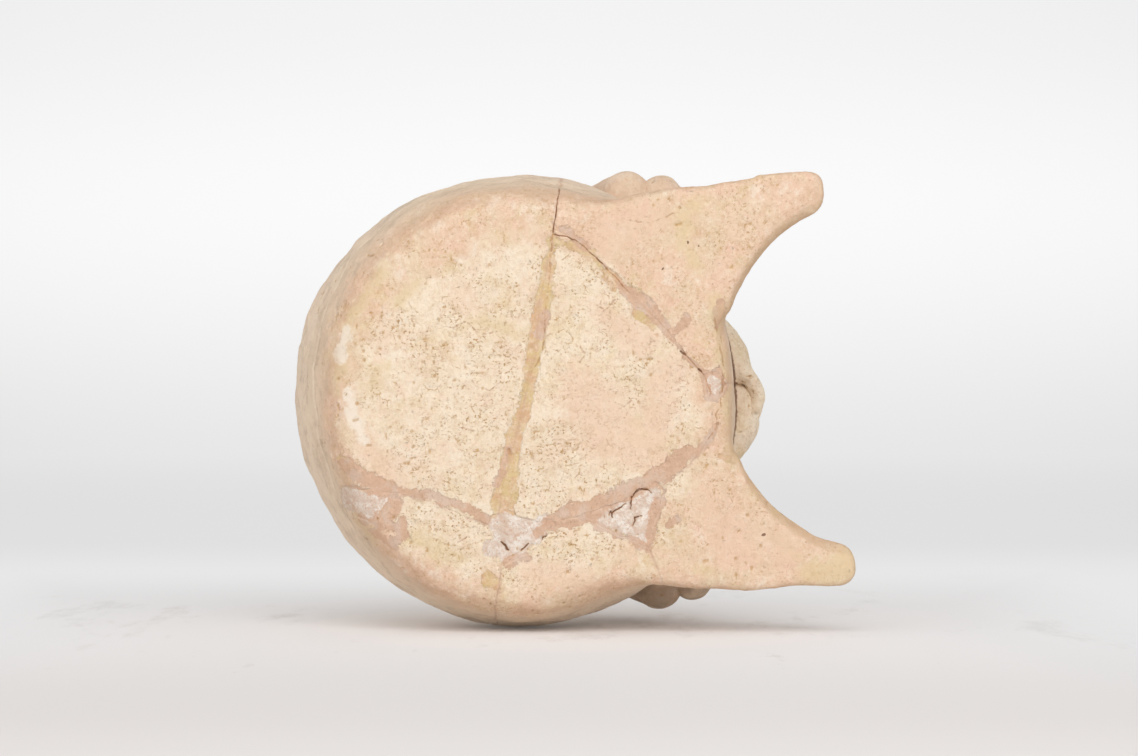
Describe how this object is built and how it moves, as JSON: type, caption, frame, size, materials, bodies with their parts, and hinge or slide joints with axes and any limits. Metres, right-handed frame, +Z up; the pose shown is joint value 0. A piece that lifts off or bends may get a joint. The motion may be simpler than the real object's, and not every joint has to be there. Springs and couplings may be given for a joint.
{
  "type": "effigy vessel",
  "caption": "Seated human effigy jar of buff fired clay: round hollow body, flat base broken and mended, stub legs, hands on the belly, open rim on the head.",
  "frame": {"origin": "the jar's axis at the resting plane, on the mended underside of the base", "axes": "+Z up; the figure faces -Y and its own left side is +X"},
  "size_m": [0.1678, 0.1991, 0.227],
  "materials": {
    "fired_clay": "unglazed cream to pink-buff clay, matt, worn, with fine crackle and ochre specks",
    "ochre_mortar": "matt ochre mending mortar, sunk a little under the clay",
    "grey_plaster": "matt mauve-grey mending plaster with drying cracks"
  },
  "bodies": {
    "root": {"base_sherd_back": "fired_clay", "base_sherd_middle": "fired_clay", "right_leg_sherd": "fired_clay", "left_back_sherd": "fired_clay", "left_side_sherd": "fired_clay", "left_leg_sherd": "fired_clay", "belly_front_sherd": "fired_clay", "body_back_sherd": "fired_clay", "shoulder_sherd": "fired_clay", "neck": "fired_clay", "head": "fired_clay", "mouth_rim": "fired_clay", "nose": "fired_clay", "lips": "fired_clay", "right_eye": "fired_clay", "left_eye": "fired_clay", "right_ear": "fired_clay", "left_ear": "fired_clay", "headband": "fired_clay", "right_upper_arm": "fired_clay", "left_upper_arm": "fired_clay", "right_forearm": "fired_clay", "left_forearm": "fired_clay", "right_hand": "fired_clay", "left_hand": "fired_clay", "band_fill": "ochre_mortar", "diagonal_fill": "ochre_mortar", "side_fill": "grey_plaster", "patch_fill": "grey_plaster", "front_fill": "grey_plaster", "back_fill": "grey_plaster"}
  },
  "joints": []
}
